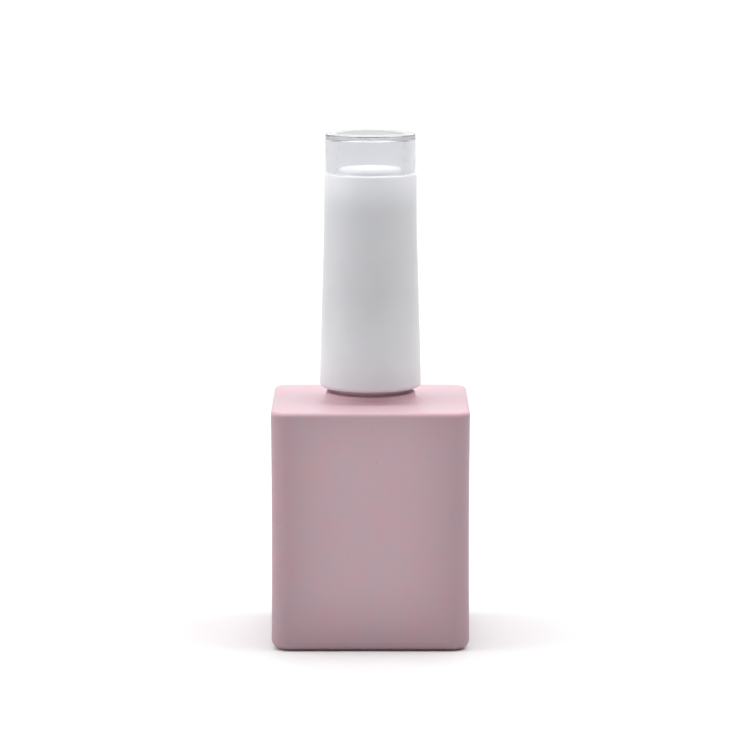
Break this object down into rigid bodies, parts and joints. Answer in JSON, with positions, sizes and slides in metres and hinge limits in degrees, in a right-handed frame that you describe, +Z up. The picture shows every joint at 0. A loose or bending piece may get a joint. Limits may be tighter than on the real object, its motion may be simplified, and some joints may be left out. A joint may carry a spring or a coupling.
{
  "type": "nail polish bottle",
  "caption": "Square pink-coated glass bottle with a threaded neck and a tall white screw cap that carries a brush and a clear top.",
  "frame": {"origin": "centre of the bottle's base, on the surface it stands on", "axes": "+Z up the neck's axis, through the clear top; X and Y square to the bottle's four sides, -Y the front"},
  "size_m": [0.031, 0.031, 0.0799],
  "materials": {
    "coated_glass": "satin sprayed coat, clear at the neck thread",
    "white_plastic": "satin moulded",
    "natural_polypropylene": "milky moulded",
    "clear_acrylic": "clear polished",
    "liner_foam": "matte foam",
    "white_polyethylene": "satin moulded",
    "nylon_filament": "fine filaments",
    "staple_wire": "bright drawn",
    "ball_steel": "polished"
  },
  "bodies": {
    "bottle": {"bottle": "coated_glass"},
    "liner": {"seal_liner": "liner_foam"},
    "cap": {"outer_cap": "white_plastic", "inner_cap": "natural_polypropylene", "clear_top": "clear_acrylic", "brush_rod": "white_polyethylene", "bristle_tuft": "nylon_filament", "bristle_staple": "staple_wire"},
    "ball_1": {"mixing_ball_1": "ball_steel"},
    "ball_2": {"mixing_ball_2": "ball_steel"}
  },
  "joints": [
    {"name": "cap_rise", "type": "slide", "parent": "bottle", "child": "liner", "axis": [0, 0, 1], "range_m": [0, 0.0424]},
    {"name": "cap_turn", "type": "hinge", "parent": "liner", "child": "cap", "pos_m": [0, 0, 0.0489], "axis": [0, 0, 1], "range_deg": [0, 7200]},
    {"name": "ball_1_rattle", "type": "slide", "parent": "bottle", "child": "ball_1", "axis": [0, 0, 1], "range_m": [0, 0.026]},
    {"name": "ball_2_rattle", "type": "slide", "parent": "bottle", "child": "ball_2", "axis": [0, 0, 1], "range_m": [0, 0.026]}
  ],
  "couplings": [
    {"joint": "cap_rise", "follows": "cap_turn", "m_per_rad": 0.00033688}
  ]
}
